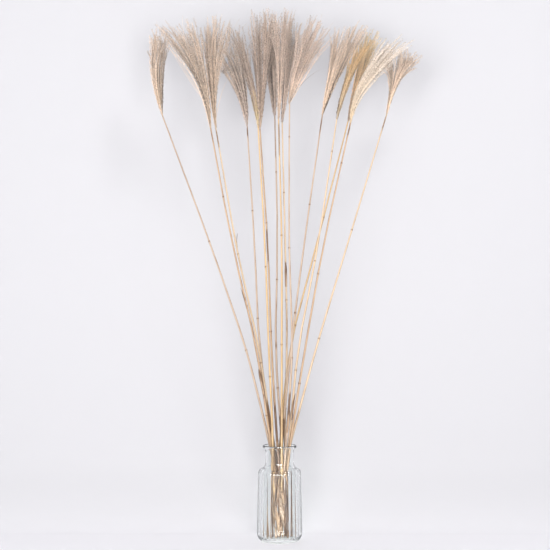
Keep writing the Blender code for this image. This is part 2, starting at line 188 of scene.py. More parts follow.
def blend(tree, share, low, high, how="MIX"):
    """A colour mixed from low to high by share, or by another way of mixing."""
    made = add_node(tree, "ShaderNodeMix", [("data_type", "RGBA"), ("blend_type", how)],
                    _0=share, _6=low, _7=high)
    return made.outputs[2]


def rescale(tree, value, low, high, new_low=0.0, new_high=1.0):
    """A value between low and high moved to lie between two others, and held there."""
    made = add_node(tree, "ShaderNodeMapRange", _0=value, _1=low, _2=high, _3=new_low, _4=new_high)
    return made.outputs[0]


# %% [markdown]
# ## Plume finish
#
# Miscanthus plumes are silky: each strand is straw-coloured where it leaves the culm,
# and greyish or golden where its hairs hide it. The group reads the plume's chart,
# whose first number is the share of the way along a strand and whose second is a shade
# of the strand's own. The shades differ most near the culm and draw together towards
# the tips, where the hairs of many strands mix. A photograph could be wrapped on, but
# the chart keeps every strand separate however close the view. All seven plume colours
# use it.

# %% Silky strand group
STRAND_GRAIN = 45.0
GRAIN_DEPTH = 0.2
# Between which shares of a strand the root's colour gives way, then the middle's.
ROOT_GIVES_WAY = (0.02, 0.35)
MIDDLE_GIVES_WAY = (0.35, 0.95)
# Between which shares the differences of shade fade, and to what part of their range.
SHADES_FADE = (0.4, 1.0)
SHADES_LEFT = 0.45
NOISE_SPAN = (0.3, 0.7)
SILK_ROUGHNESS = (0.62, 0.85)

silky, given, result = new_group(
    "silky_strand",
    [("Root", "NodeSocketColor", (0.6, 0.4, 0.2, 1)), ("Middle", "NodeSocketColor", (0.6, 0.5, 0.4, 1)),
     ("Tip", "NodeSocketColor", (0.8, 0.7, 0.6, 1)), ("Shade Range", "NodeSocketFloat", 0.4)],
    [("Color", "NodeSocketColor"), ("Roughness", "NodeSocketFloat")])
chart_place = add_node(silky, "ShaderNodeUVMap", [("uv_map", "chart")])
chart_parts = add_node(silky, "ShaderNodeSeparateXYZ", _0=chart_place.outputs[0])
place = add_node(silky, "ShaderNodeTexCoord")
patches = add_node(silky, "ShaderNodeTexNoise", Vector=place.outputs["Object"], Scale=STRAND_GRAIN,
                   Detail=3.0)
along, shade = chart_parts.outputs[0], chart_parts.outputs[1]
lower = blend(silky, rescale(silky, along, *ROOT_GIVES_WAY), given.outputs["Root"], given.outputs["Middle"])
whole = blend(silky, rescale(silky, along, *MIDDLE_GIVES_WAY), lower, given.outputs["Tip"])
fading = add_node(silky, "ShaderNodeMath", [("operation", "MULTIPLY")], _0=given.outputs["Shade Range"],
                  _1=rescale(silky, along, *SHADES_FADE, 1.0, SHADES_LEFT))
darkest = add_node(silky, "ShaderNodeMath", [("operation", "SUBTRACT")], _0=1.0, _1=fading.outputs[0])
own = add_node(silky, "ShaderNodeMath", [("operation", "MULTIPLY_ADD")], _0=shade,
               _1=fading.outputs[0], _2=darkest.outputs[0])
grain = rescale(silky, patches.outputs["Fac"], *NOISE_SPAN, 1 - GRAIN_DEPTH, 1.0)
strength = add_node(silky, "ShaderNodeMath", [("operation", "MULTIPLY")], _0=own.outputs[0], _1=grain)
silky.links.new(blend(silky, 1.0, whole, strength.outputs[0], "MULTIPLY"), result.inputs["Color"])
silky.links.new(rescale(silky, shade, 0, 1, *SILK_ROUGHNESS), result.inputs["Roughness"])
print("nodes in the group", len(silky.nodes))

# %% Plume colours
SILK_SHEEN = 0.25
SHEEN_ROUGHNESS = 0.5


def plume_finish(name, root, middle, tip, shade_range):
    """A silky finish with its own three colours."""
    material, tree, shader = new_material(name)
    effect = add_node(tree, "ShaderNodeGroup", [("node_tree", silky)], Root=root, Middle=middle, Tip=tip,
                      Shade_Range=shade_range)
    tree.links.new(effect.outputs["Color"], shader.inputs["Base Color"])
    tree.links.new(effect.outputs["Roughness"], shader.inputs["Roughness"])
    shader.inputs["Sheen Weight"].default_value = SILK_SHEEN
    shader.inputs["Sheen Roughness"].default_value = SHEEN_ROUGHNESS
    return material


PLUME_FINISHES = {
    name: plume_finish(f"plume_{name}", root, middle, tip, shade_range)
    for name, root, middle, tip, shade_range in (
        ("beige", (0.86, 0.63, 0.44, 1), (0.97, 0.745, 0.57, 1), (0.88, 0.70, 0.56, 1), 0.62),
        ("tan", (0.74, 0.55, 0.41, 1), (0.76, 0.575, 0.46, 1), (0.74, 0.58, 0.475, 1), 0.62),
        ("grey", (0.70, 0.54, 0.44, 1), (0.81, 0.64, 0.53, 1), (0.78, 0.635, 0.525, 1), 0.62),
        ("straw", (0.74, 0.56, 0.30, 1), (0.50, 0.37, 0.29, 1), (0.52, 0.40, 0.32, 1), 0.6),
        ("golden", (0.82, 0.63, 0.42, 1), (0.92, 0.64, 0.37, 1), (0.88, 0.59, 0.30, 1), 0.7),
        # The amber finish's dark brown root is painted shade, for the shadow between the plumes in front of
        # it.
        ("amber_painted_shade_root", (0.50, 0.36, 0.26, 1), (0.98, 0.67, 0.40, 1), (1.00, 0.78, 0.49, 1), 0.45),
        ("honey", (0.82, 0.62, 0.40, 1), (0.99, 0.81, 0.62, 1), (0.97, 0.84, 0.72, 1), 0.42),
    )
}
print("plume finishes", list(PLUME_FINISHES))

# %% [markdown]
# ## Straw finish
#
# A dry culm is satin straw with fine streaks along it, and brown marks where leaf
# sheaths sat. The streaks are noise that is squeezed around the culm and stretched
# along it, read from the chart, so that they follow every bend. The marks come from
# numbers that are worked out at each point of the culm, and the same streaks fray
# their edges. Those numbers also carry a line of painted shade down one side of a culm.

# %% Dry streak group
STREAKS_AROUND = 5.0
STREAKS_ALONG = 0.008
STREAK_SCALE = 3.0
STREAK_CONTRAST = 0.65
STREAK_EDGE = (0.46, 0.64)
CLOUD_SCALE = 14.0
CLOUD_EDGE = (0.45, 0.75)
CLOUD_SHARE = 0.5
FRAY_SPAN = (0.35, 0.65)
MARK_EDGE = (0.95, 1.3)
STRAW_ROUGHNESS = (0.42, 0.66)

streaky, given, result = new_group(
    "dry_streaks",
    [("Pale", "NodeSocketColor", (0.8, 0.65, 0.4, 1)), ("Streak", "NodeSocketColor", (0.6, 0.4, 0.2, 1)),
     ("Mark", "NodeSocketColor", (0.3, 0.18, 0.1, 1)), ("Marked", "NodeSocketFloat", 0.0)],
    [("Color", "NodeSocketColor"), ("Roughness", "NodeSocketFloat"), ("Height", "NodeSocketFloat")])
chart_place = add_node(streaky, "ShaderNodeUVMap", [("uv_map", "chart")])
squeezed = add_node(streaky, "ShaderNodeMapping", _0=chart_place.outputs[0],
                    _3=(STREAKS_AROUND, STREAKS_ALONG, 1.0))
fibres = add_node(streaky, "ShaderNodeTexNoise", Vector=squeezed.outputs[0], Scale=STREAK_SCALE,
                  Detail=6.0, Roughness=STREAK_CONTRAST)
place = add_node(streaky, "ShaderNodeTexCoord")
clouds = add_node(streaky, "ShaderNodeTexNoise", Vector=place.outputs["Object"], Scale=CLOUD_SCALE,
                  Detail=3.0)
streaked = blend(streaky, rescale(streaky, fibres.outputs["Fac"], *STREAK_EDGE), given.outputs["Pale"],
                 given.outputs["Streak"])
mottled = blend(streaky, rescale(streaky, clouds.outputs["Fac"], *CLOUD_EDGE, 0.0, CLOUD_SHARE), streaked,
                given.outputs["Streak"])
stained = add_node(streaky, "ShaderNodeMath", [("operation", "ADD")], _0=given.outputs["Marked"],
                   _1=rescale(streaky, fibres.outputs["Fac"], *FRAY_SPAN))
marked_share = rescale(streaky, stained.outputs[0], *MARK_EDGE)
streaky.links.new(blend(streaky, marked_share, mottled, given.outputs["Mark"]), result.inputs["Color"])
streaky.links.new(rescale(streaky, fibres.outputs["Fac"], *NOISE_SPAN, *STRAW_ROUGHNESS),
                  result.inputs["Roughness"])
streaky.links.new(fibres.outputs["Fac"], result.inputs["Height"])
print("nodes in the group", len(streaky.nodes))

# %% Straw colours
FIBRE_STRENGTH = 0.25
FIBRE_HEIGHT = 0.0003


def straw_finish(name, pale, streak, mark):
    """A streaked finish whose marks follow the piece's own numbers."""
    material, tree, shader = new_material(name)
    marked = add_node(tree, "ShaderNodeAttribute", [("attribute_name", "marks")])
    effect = add_node(tree, "ShaderNodeGroup", [("node_tree", streaky)], Pale=pale, Streak=streak,
                      Mark=mark, Marked=marked.outputs["Fac"])
    bump = add_node(tree, "ShaderNodeBump", Strength=FIBRE_STRENGTH, Distance=FIBRE_HEIGHT,
                    Height=effect.outputs["Height"])
    tree.links.new(effect.outputs["Color"], shader.inputs["Base Color"])
    tree.links.new(effect.outputs["Roughness"], shader.inputs["Roughness"])
    tree.links.new(bump.outputs[0], shader.inputs["Normal"])
    return material


STRAW_FINISHES = {
    name: straw_finish(f"straw_{name}", pale, streak, mark)
    for name, pale, streak, mark in (
        ("pale", (0.62, 0.475, 0.32, 1), (0.44, 0.31, 0.20, 1), (0.13, 0.068, 0.032, 1)),
        ("golden", (0.60, 0.42, 0.22, 1), (0.40, 0.26, 0.13, 1), (0.13, 0.066, 0.030, 1)),
        ("brown", (0.50, 0.345, 0.215, 1), (0.30, 0.19, 0.12, 1), (0.11, 0.055, 0.026, 1)),
        ("mauve", (0.50, 0.38, 0.28, 1), (0.32, 0.23, 0.175, 1), (0.12, 0.063, 0.031, 1)),
    )
}
print("straw finishes", list(STRAW_FINISHES))

# %% [markdown]
# ## Glass finish
#
# The vase is clear soda glass with a faint green cast. Light has to reach the culms
# inside it: a path tracer would take a very long time to find the lamps through
# refracting walls, so a shadow ray meets an almost clear shader instead. A ray that has
# already met many surfaces does too, or else it would be lost and leave a dark spot.

# %% Clear glass
GLASS_TINT = (0.935, 0.955, 0.953, 1.0)
SHADOW_TINT = (0.95, 0.965, 0.96, 1.0)
GLASS_IOR = 1.48
LONGEST_WAY = 5.0
BREATH_SCALE = 30.0
BREATH_EDGE = (0.4, 0.8)
GLASS_ROUGHNESS = (0.01, 0.06)
WAVE_SCALE = 60.0
WAVE_STRENGTH = 0.12
WAVE_HEIGHT = 0.0005

glass, tree, shader = new_material("vase_glass")
shader.inputs["Base Color"].default_value = GLASS_TINT
shader.inputs["Transmission Weight"].default_value = 1.0
shader.inputs["IOR"].default_value = GLASS_IOR
place = add_node(tree, "ShaderNodeTexCoord")
breath = add_node(tree, "ShaderNodeTexNoise", Vector=place.outputs["Object"], Scale=BREATH_SCALE,
                  Detail=4.0)
waves = add_node(tree, "ShaderNodeTexNoise", Vector=place.outputs["Object"], Scale=WAVE_SCALE,
                 Detail=1.0)
tree.links.new(rescale(tree, breath.outputs["Fac"], *BREATH_EDGE, *GLASS_ROUGHNESS),
               shader.inputs["Roughness"])
bump = add_node(tree, "ShaderNodeBump", Strength=WAVE_STRENGTH, Distance=WAVE_HEIGHT,
                Height=waves.outputs["Fac"])
tree.links.new(bump.outputs[0], shader.inputs["Normal"])
rays = add_node(tree, "ShaderNodeLightPath")
open_way = add_node(tree, "ShaderNodeBsdfTransparent", Color=SHADOW_TINT)
weary = add_node(tree, "ShaderNodeMath", [("operation", "GREATER_THAN")], _0=rays.outputs["Ray Depth"],
                 _1=LONGEST_WAY)
either = add_node(tree, "ShaderNodeMath", [("operation", "MAXIMUM")], _0=rays.outputs["Is Shadow Ray"],
                  _1=weary.outputs[0])
mixed = add_node(tree, "ShaderNodeMixShader", _0=either.outputs[0], _1=shader.outputs[0],
                 _2=open_way.outputs[0])
tree.links.new(mixed.outputs[0], tree.nodes["Material Output"].inputs["Surface"])
print("glass", glass.name)

# %% [markdown]
# ## Vase
#
# The vase was blown into a mould: flutes run up its body, and its neck and flared rim
# were finished by hand and are plain. A profile carried round the axis makes it, from
# the foot up the outside, over the rim and down the inside. The outside is drawn in
# between the ribs, and the inside stays smooth, as in real glass.

# %% Sizes of the vase
WALL = 2.9
BASE_THICKNESS = 4.5
VASE_HEIGHT = 180.0
BASE_RADIUS = 31.0
CORNER_HEIGHT = 17.0
BODY_RADIUS = 42.6
SHOULDER_HEIGHT = 127.0
SHOULDER_RADIUS = 40.2
SHOULDER_CURVE = 10.0
SLOPE_RADIUS = 33.0
NECK_RADIUS = 26.8
NECK_CURVE = 11.0
NECK_LOW = 148.5
NECK_HIGH = 168.0
# Radius and height of each point where the neck flares into the rim, outside and inside.
FLARE_OUTSIDE = ((26.8, 168.0), (27.3, 171.0), (28.6, 173.6), (30.6, 175.2), (31.5, 175.8))
FLARE_INSIDE = ((29.6, 179.6), (28.2, 178.0), (26.3, 174.5), (24.6, 171.0), (23.9, 168.0))
RIM_CENTRE = (31.0, 177.8)
RIM_RADII = (1.0, 2.2)
# The inside: the neck's foot and its curve, the shoulder, and the corner at the floor.
INNER_NECK_LOW = 148.0
INNER_NECK_CENTRE = (31.0, 147.0)
INNER_NECK_CURVE = 12.0
INNER_SLOPE_RADIUS = 30.6
INNER_SHOULDER = (37.2, 126.0)
INNER_SHOULDER_CURVE = 9.6
INNER_CORNER = (39.2, 22.0)
FLOOR_CENTRE = (28.4, 16.0)
FLOOR_CURVE = 11.2
print("vase", VASE_HEIGHT, "mm tall and", 2 * BODY_RADIUS, "mm wide")


# %% Profile of the vase
def arc(centre, radii, start, end, steps):
    """Points of an ellipse's arc: centre + radii times the cosine and sine of the angle."""
    angles = np.radians(np.linspace(start, end, steps))
    return np.column_stack([centre[0] + radii[0] * np.cos(angles), centre[1] + radii[1] * np.sin(angles)])


def line(start, end, steps):
    """Evenly spaced points between two places, without the ends."""
    return np.linspace(start, end, steps + 2)[1:-1]


outer = np.concatenate([
    arc((BASE_RADIUS, CORNER_HEIGHT), (BODY_RADIUS - BASE_RADIUS, CORNER_HEIGHT), -90, 0, 14),
    line((BODY_RADIUS, CORNER_HEIGHT), (SHOULDER_RADIUS, SHOULDER_HEIGHT), 12),
    arc((SLOPE_RADIUS, SHOULDER_HEIGHT), (SHOULDER_RADIUS - SLOPE_RADIUS, SHOULDER_CURVE), 0, 60, 9),
    arc((SLOPE_RADIUS, NECK_LOW), (SLOPE_RADIUS - NECK_RADIUS, NECK_CURVE), 246, 180, 9),
    line((NECK_RADIUS, NECK_LOW), (NECK_RADIUS, NECK_HIGH), 4),
    FLARE_OUTSIDE,
    arc(RIM_CENTRE, RIM_RADII, -50, 90, 9),
])
inside_neck = NECK_RADIUS - WALL
inner = np.concatenate([
    FLARE_INSIDE,
    line((inside_neck, NECK_HIGH), (inside_neck, INNER_NECK_LOW), 4),
    arc(INNER_NECK_CENTRE, (INNER_NECK_CENTRE[0] - inside_neck, INNER_NECK_CURVE), 180, 244, 8),
    arc((INNER_SLOPE_RADIUS, INNER_SHOULDER[1]),
        (INNER_SHOULDER[0] - INNER_SLOPE_RADIUS, INNER_SHOULDER_CURVE), 58, 0, 8),
    line(INNER_SHOULDER, INNER_CORNER, 8),
    arc(FLOOR_CENTRE, (FLOOR_CURVE, FLOOR_CENTRE[1] - BASE_THICKNESS), 16, -90, 12),
])
print("profile points outside", len(outer), "and inside", len(inner))

# %% Carry the profile round the axis
VASE_COLUMNS = 360
FLUTES = 30
FLUTE_DEPTH = 1.1
FLUTE_FADE = 3.5
FLUTE_TOP = 137.0

fluted = (np.clip((FLUTE_TOP - outer[:, 1]) / FLUTE_FADE, 0, 1)
          * np.clip(outer[:, 1] / (CORNER_HEIGHT / 2), 0, 1))
angles = np.arange(VASE_COLUMNS) * 2 * np.pi / VASE_COLUMNS
between_ribs = 1 - np.abs(np.cos(angles * FLUTES / 2))
reach = np.concatenate([
    outer[:, :1] - FLUTE_DEPTH * fluted[:, None] * between_ribs,
    inner[:, :1] + 0 * between_ribs,
])
height = np.concatenate([outer[:, 1], inner[:, 1]])[:, None] + 0 * angles
rings = np.stack([reach * np.cos(angles), reach * np.sin(angles), height], axis=-1)
rows = len(rings)
quads = ring_faces(1, rows, VASE_COLUMNS)[0]
poles = np.array([[0, 0, 0.0], [0, 0, BASE_THICKNESS]])
column = np.arange(VASE_COLUMNS)
after = (column + 1) % VASE_COLUMNS
last = (rows - 1) * VASE_COLUMNS
pole = rows * VASE_COLUMNS
fans = np.concatenate([
    np.column_stack([np.full(VASE_COLUMNS, pole), after, column]),
    np.column_stack([last + column, last + after, np.full(VASE_COLUMNS, pole + 1)]),
])
points = np.concatenate([rings.reshape(-1, 3), poles])
turned = np.arctan2(points[:, 1], points[:, 0]) / (2 * np.pi) + 0.5
chart = np.column_stack([turned, points[:, 2] / VASE_HEIGHT])
vase = add_piece("glass_vase", points, [quads, fans], glass, chart)
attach(vase, "root")
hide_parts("vase")
print("vase rings", rows, "points", len(points))

# %% [markdown]
# ## Where the culms run
#
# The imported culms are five-sided. All five corners of a ring share one height, so the
# mean of each ring is a point of the culm's centre line. The real culms are round and
# slightly thicker at their joints, and the new surfaces follow the same lines.

# %% Read the centre lines from the frame
CULM_CORNERS = 5
CULMS = 15


def centre_line(node):
    """Centre of each level ring of a culm: the mean of the five points with one height."""
    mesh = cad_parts[node].data
    points = np.empty(len(mesh.vertices) * 3)
    mesh.vertices.foreach_get("co", points)
    points = np.unique((points.reshape(-1, 3) / MM).round(3), axis=0)
    points = points[np.argsort(points[:, 2], kind="stable")]
    levels, place, count = np.unique(points[:, 2].round(2), return_inverse=True, return_counts=True)
    whole = points[count[place] == CULM_CORNERS]
    return whole.reshape(-1, CULM_CORNERS, 3).mean(axis=1)


lines = [centre_line(f"stem_{number:02d}") for number in range(1, CULMS + 1)]
print("rings in each culm", [len(found) for found in lines])

# %% [markdown]
# ## Where the plumes lie
#
# A plume is a fan of strands. It is drawn as hair is groomed: a few guide strands are
# placed, and every other strand is read between its two nearest guides. The packed
# plumes were made by this rule, so the finer ones here fill the same space.

# %% Guide strands
# Where the culm ends, the fan's half depth, its slot's colour and its guide strands. A
# guide is its place across the fan from -1 to 1, then X and Z half way and at its tip.
Plume = namedtuple("Plume", "head depth colour guides")
PLUMES = (
    Plume((-221, 16, 800), 15, "beige", (
        (-1, -245, 884, -243, 953), (0, -232, 878, -228, 960), (1, -217, 875, -213, 953))),
    Plume((-129, -20, 775), 20, "beige", (
        (-1, -165, 866, -223, 929), (-0.5, -160, 881, -225, 960), (0, -150, 875, -189, 962),
        (0.5, -143, 877, -167, 970), (1, -135, 875, -150, 949))),
    Plume((-121, 22, 779), 20, "beige", (
        (-1, -138, 875, -147, 957), (-0.4, -130, 883, -136, 976), (0.2, -124, 885, -121, 995),
        (0.6, -119, 887, -92, 975), (1, -113, 874, -71, 973))),
    Plume((-62, 56, 785), 20, "grey", (
        (-1, -85, 852, -117, 903), (-0.4, -80, 861, -113, 929), (0.3, -72, 867, -97, 962),
        (1, -63, 867, -74, 974))),
    Plume((-40, -55, 777), 12, "golden", (
        (-1, -60, 850, -91, 937), (0, -54, 853, -82, 952), (1, -47, 857, -71, 942))),
    Plume((-37, 14, 775), 20, "beige", (
        (-1, -46, 871, -58, 965), (-0.5, -41, 878, -47, 994), (0, -33, 882, -30, 994),
        (0.6, -26, 878, -14, 988), (1, -22, 872, -1, 971))),
    Plume((-9, 52, 804), 20, "grey", (
        (-1, -22, 870, -40, 975), (0, -15, 889, -26, 1002), (1, -5, 897, -5, 1002))),
    Plume((-2, -20, 791), 18, "beige", (
        (-1, -7, 875, -16, 972), (-0.2, 1, 883, 1, 988), (0.6, 6, 886, 18, 985), (1, 10, 886, 29, 987))),
    Plume((5, 58, 793), 18, "grey", (
        (-1, 8, 886, 10, 992), (0, 14, 884, 24, 990), (1, 22, 883, 41, 974))),
    Plume((18, -56, 816), 20, "beige", (
        (-1, 23, 881, 37, 955), (-0.4, 32, 881, 59, 964), (0.2, 39, 879, 76, 961),
        (0.7, 49, 874, 92, 944), (1, 52, 861, 96, 915))),
    Plume((81, 20, 803), 20, "beige", (
        (-1, 90, 881, 103, 963), (-0.5, 97, 883, 116, 968), (0, 105, 885, 135, 970),
        (0.5, 114, 887, 156, 968), (1, 122, 885, 175, 961))),
    Plume((107, -16, 792), 12, "golden", (
        (-1, 120, 855, 141, 911), (0, 126, 861, 156, 928), (1, 133, 863, 169, 937))),
    Plume((132, 60, 796), 18, "golden", (
        (-1, 145, 879, 163, 961), (0, 153, 879, 180, 969), (1, 160, 877, 194, 965))),
    Plume((131, -52, 781), 20, "golden", (
        (-1, 146, 852, 192, 919), (-0.4, 152, 852, 212, 930), (0.3, 157, 850, 230, 930),
        (0.7, 159, 846, 234, 915), (1, 161, 839, 219, 899))),
    Plume((203, 18, 805), 18, "beige", (
        (-1, 209, 862, 196, 892), (-0.5, 211, 867, 203, 913), (-0.25, 213, 869, 211, 919),
        (-0.23, 218, 869, 230, 917), (0.2, 222, 869, 247, 923), (0.7, 226, 867, 266, 913),
        (1, 228, 862, 258, 890))),
)
print("guide strands", [len(plume.guides) for plume in PLUMES])

# %% Lines of a fan
TIP_LEAN = 1.3


def fan_line(plume, across, steps):
    """The curve (1-t)^2 head + 2(1-t)t control + t^2 tip of each place across the fan.

    The control point is the one that takes the curve through the half-way place.
    """
    head = np.array(plume.head, float)
    places, half_x, half_z, tip_x, tip_z = np.array(plume.guides, float).T
    lean = np.ones_like(across) * head[1]
    halfway = np.stack([np.interp(across, places, half_x), lean * (1 + TIP_LEAN) / 2,
                        np.interp(across, places, half_z)], axis=-1)
    tip = np.stack([np.interp(across, places, tip_x), lean * TIP_LEAN,
                    np.interp(across, places, tip_z)], axis=-1)
    control = 2 * halfway - (head + tip) / 2
    t = np.asarray(steps, float)[..., None]
    return (1 - t)**2 * head + 2 * (1 - t) * t * control + t**2 * tip


# %% [markdown]
# No real plume runs through another: the hairs push each other aside. So the middle of
# each culm and its plume is noted at many heights, and every strand is then kept to its
# own side of the middle between two plumes.

# %% Ways of the culms and plumes
FEET = 5.3
PAST_ALL_TIPS = 1100.0
LEVEL_STEP = 5.0
LEVELS = np.arange(FEET, PAST_ALL_TIPS, LEVEL_STEP)
CENTRE_STEPS = 60
CENTRE_PAST_TIPS = 1.3


def whole_line(number):
    """Across and depth of a culm at each level, and of its plume's middle above its head."""
    found = lines[number]
    above = fan_line(PLUMES[number], 0.0, np.linspace(0, CENTRE_PAST_TIPS, CENTRE_STEPS))
    return np.array([np.where(LEVELS <= found[-1, 2],
                              np.interp(LEVELS, found[:, 2], found[:, axis]),
                              np.interp(LEVELS, above[:, 2], above[:, axis])) for axis in (0, 1)])


ROUTES = np.array([whole_line(number) for number in range(CULMS)])
print("routes", ROUTES.shape)

# %% Keep each plume to its own side
PLUME_GAP = 1.6
LEAST_ROOM = 0.1
FREE_SHARE = 0.5


def keep_own_side(points, number):
    """Draws points back to their own side of the middle between this plume and each other.

    Past half of the free room, the way out is squeezed by 1 - exp(-distance). It is done
    twice, as a move away from one plume can lead towards another.
    """
    flat = points.reshape(-1, 3).copy()
    at = np.clip(flat[:, 2], LEVELS[0], LEVELS[-1])
    own = np.column_stack([np.interp(at, LEVELS, route) for route in ROUTES[number]])
    for other in [n for n in range(CULMS) if n != number] * 2:
        its = np.column_stack([np.interp(at, LEVELS, route) for route in ROUTES[other]])
        distance = np.linalg.norm(its - own, axis=1)
        away = (its - own) / distance[:, None]
        room = np.maximum(distance / 2 - PLUME_GAP, LEAST_ROOM)
        reach = np.einsum("ij,ij->i", flat[:, :2] - own, away)
        over = np.clip(reach / room - FREE_SHARE, 0, None) / (1 - FREE_SHARE)
        allowed = room * (FREE_SHARE + (1 - FREE_SHARE) * (1 - np.exp(-over)))
        flat[:, :2] -= away * np.where(over > 0, reach - allowed, 0)[:, None]
    return flat.reshape(points.shape)


# %% [markdown]
# ## Plumes
#
# Each plume has a rachis, which goes on from the culm, and long strands that are rooted
# along it. Strands cling together in small locks, each with a shade of its own, and
# every strand carries about a hundred spikelets and silky hairs. Blender's hair curves
# would be quick to add, but they aren't a mesh, so each hair here is a needle of six
# triangles.

# %% Strands
GOLDEN_ANGLE = math.radians(137.5)
ROOT_LOWEST = -0.03
ROOT_SPREAD = 0.42
ROOT_OFFSET = 2.0
WIDTH_EVENNESS = 0.85
TURN_SCATTER = 0.9
TIP_LONGEST = 1.03
TIP_SCATTER = 0.24
TIP_EVENNESS = 1.2
DEPTH_BEND = 1.5
TIP_STRAY = 13.0
STRAY_START = 0.6
WAVE_WIDTH = 1.6
WAVE_STRENGTHS = (0.4, 1.3)
WAVE_COUNTS = (0.8, 2.2)
WAVE_GROWTH = 1.5
STRAND_ROWS = 14
LOCK_SIZE = 2
LOCK_WIDTH = 1.1
LOCK_OPENING = 7.0
# How much of a scatter is left across, in depth and upwards: the fans are flat.
FLATTER = np.array([1.0, 0.35, 1.0])


def strand_curves(number, count, draw):
    """Middle lines of a plume's strands, spread through an oval fan by the golden angle.

    The strands of a lock share their place in the fan and their wave, and part by
    (width + opening * u^3) * sqrt(u). A strand is its fan line plus depth * t^1.5, and it
    is drawn to the rachis at its root by the share (1-u)^2. The wave grows by u^1.5, and
    past three fifths of the way each tip strays by its own bend.
    """
    plume = PLUMES[number]
    lock = np.arange(count) // LOCK_SIZE
    locks = lock[-1] + 1
    reach = np.sqrt((lock + 0.5) / locks)
    angle = (np.arange(locks) * GOLDEN_ANGLE + draw.uniform(-TURN_SCATTER, TURN_SCATTER, locks))[lock]
    across, deep = reach * np.cos(angle), reach * np.sin(angle)
    offset = np.column_stack([across, deep, 0 * deep]) / reach[:, None] * ROOT_OFFSET
    across = np.sign(across) * np.abs(across)**WIDTH_EVENNESS
    u = np.linspace(0, 1, STRAND_ROWS)
    start = ROOT_LOWEST + ROOT_SPREAD * (1 - reach)
    end = TIP_LONGEST - TIP_SCATTER * draw.random(count)**TIP_EVENNESS
    steps = start[:, None] + (end - start)[:, None] * u
    paths = fan_line(plume, across[:, None] + 0 * steps, steps)
    paths[..., 1] += (deep * plume.depth)[:, None] * steps**DEPTH_BEND
    to_root = fan_line(plume, 0 * start, start) + offset - paths[:, 0]
    paths += ((1 - u)**2)[:, None] * to_root[:, None]
    waves, phase = draw.uniform(*WAVE_COUNTS, locks)[lock, None], draw.random(locks)[lock, None]
    swing = np.sin(2 * np.pi * (waves * u + phase))
    wave = draw.uniform(*WAVE_STRENGTHS, (count, 1)) * u**WAVE_GROWTH * swing
    stray = draw.uniform(0, TIP_STRAY, (count, 1)) * np.clip((u - STRAY_START) / (1 - STRAY_START), 0, 1)**2
    parted = ((LOCK_WIDTH + LOCK_OPENING * u**3) * np.sqrt(u))[:, None]
    paths += FLATTER * draw.uniform(-1, 1, (count, 1, 3)) * parted
    turn, bend = draw.uniform(0, 2 * np.pi, locks)[lock], draw.uniform(0, 2 * np.pi, count)
    paths += wave[..., None] * WAVE_WIDTH * np.column_stack([np.cos(turn), np.sin(turn), 0 * turn])[:, None]
    paths += FLATTER * stray[..., None] * np.column_stack([np.cos(bend), np.sin(bend), 0 * bend])[:, None]
    return keep_own_side(paths, number)


# %% [markdown]
# A few strands don't keep to the fan: they stick up, droop or curl. They are given one
# by one, as the plume they grow from, the share of the rachis where they start, the
# place that their curve leans towards, and the place of their tip. They carry no hairs,
# so that each shows as one thin line.

# %% Stray strands
STRAYS = (
    # plume, root share, towards (x, z), tip (x, z)
    (2, 0.20, (-196, 900), (-230, 974)),
    (2, 0.24, (-200, 910), (-219, 968)),
    (2, 0.30, (-184, 930), (-181, 984)),
    (2, 0.30, (-160, 930), (-156, 978)),
    (3, 0.30, (-140, 930), (-142, 974)),
    (3, 0.34, (-122, 930), (-119, 997)),
    (3, 0.36, (-112, 930), (-75, 988)),
    (3, 0.36, (-105, 925), (-62, 979)),
    (3, 0.05, (-112, 850), (-98, 872)),
    (6, 0.30, (-50, 940), (-48, 1000)),
    (8, 0.34, (8, 940), (30, 994)),
    (8, 0.34, (10, 930), (24, 996)),
    (10, 0.02, (42, 862), (73, 876)),
    (10, 0.06, (40, 872), (74, 897)),
    (10, 0.30, (58, 930), (62, 978)),
    (10, 0.30, (62, 930), (78, 979)),
    (10, 0.34, (66, 930), (98, 963)),
    (11, 0.20, (98, 920), (106, 969)),
    (11, 0.24, (110, 925), (122, 972)),
    (11, 0.28, (118, 925), (136, 970)),
    (11, 0.30, (128, 925), (152, 968)),
    (15, 0.30, (232, 940), (242, 944)),
)


def curve(start, control, end, share):
    """The curve (1-t)^2 start + 2(1-t)t control + t^2 end."""
    t = np.asarray(share, float)[:, None]
    return (1 - t)**2 * start + 2 * (1 - t) * t * control + t**2 * end


def stray_curves(number):
    """Middle lines of the strays of one plume, at the depth of its tips."""
    plume = PLUMES[number]
    deep = plume.head[1] * TIP_LEAN
    t = np.linspace(0, 1, STRAND_ROWS)
    paths = []
    for _, share, (lean_x, lean_z), (tip_x, tip_z) in [row for row in STRAYS if row[0] == number + 1]:
        root = fan_line(plume, 0.0, share)
        lean, tip = np.array([lean_x, (root[1] + deep) / 2, lean_z]), np.array([tip_x, deep, tip_z])
        paths.append(curve(root, lean, tip, t))
    return np.array(paths).reshape(-1, STRAND_ROWS, 3)


print("stray strands", len(STRAYS))

# %% [markdown]
# Up close, a strand is a row of small pointed spikelets, set alternately to its left and
# right, with silky hairs among them. Both are one rule with two sets of sizes: a thing
# that starts on the strand and points a little outwards from the strand's own way.

# %% Spikelets and hairs
Growth = namedtuple("Growth", "each first length radius widest lean scatter crowding")
SPIKELETS = Growth(38, 0.05, 6.2, 0.62, 0.40, (8, 20), 0.4, 0.9)
HAIRS = Growth(60, 0.10, 8.5, 0.13, 0.12, (16, 58), np.pi, 0.33)
STRAND_TWIST = 0.5
LENGTH_SPAN = (0.75, 1.2)
SHORTER_AT_TIP = 0.35
GROWTH_POINTS = 5


